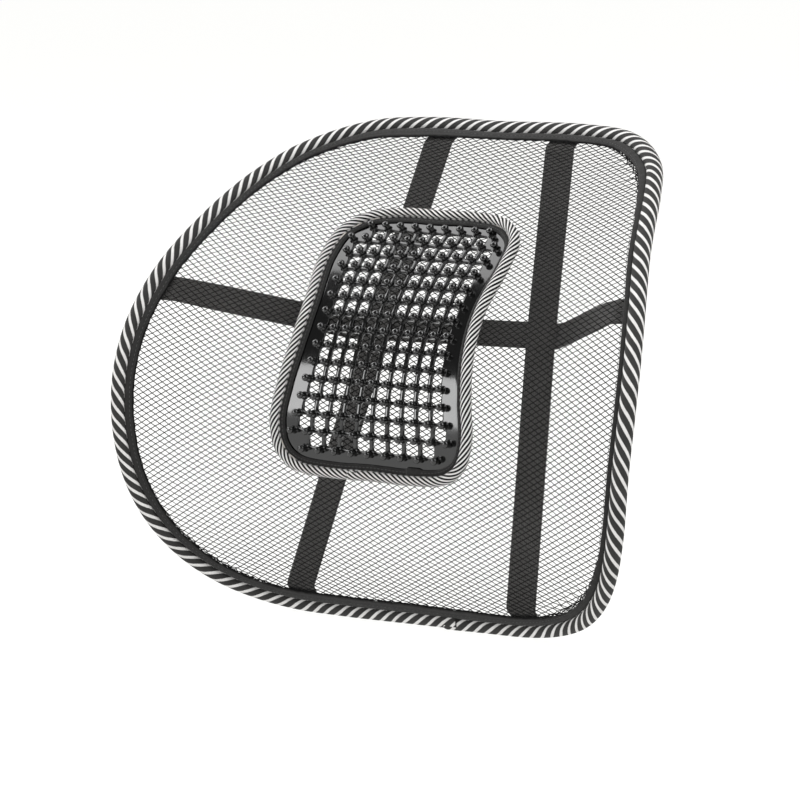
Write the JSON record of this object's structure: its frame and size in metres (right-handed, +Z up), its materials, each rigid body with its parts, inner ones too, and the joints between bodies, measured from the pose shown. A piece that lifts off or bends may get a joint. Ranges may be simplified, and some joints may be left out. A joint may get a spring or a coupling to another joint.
{
  "type": "lumbar support cushion",
  "caption": "Bowed mesh lumbar support on a sprung wire hoop, with a pinned massage plate, support bands and an elastic chair strap.",
  "frame": {"origin": "on the ground under the middle of the support's bounding box", "axes": "+X to the right as seen from the sitter's side, -Y towards the sitter's back, +Z up"},
  "size_m": [0.4, 0.1704, 0.3079],
  "materials": {
    "spring_steel": "satin",
    "foam": "matte",
    "striped_tape": "matte",
    "fine_striped_tape": "matte",
    "black_tape": "matte",
    "mesh_fabric": "matte",
    "elastic": "matte",
    "black_plastic": "gloss",
    "cotton_cord": "matte"
  },
  "bodies": {
    "root": {"frame_wire": "spring_steel", "wire_ferrule": "spring_steel", "edge_foam_tube": "foam", "edge_roll_cover": "striped_tape", "edge_binding_tape": "black_tape", "mesh_panel": "mesh_fabric", "massage_plate": "black_plastic", "pad_piping_cord": "cotton_cord", "pad_piping_cover": "fine_striped_tape", "pad_binding_tape": "black_tape", "support_band_left": "elastic", "support_band_right": "elastic", "chair_strap": "elastic"}
  },
  "joints": []
}
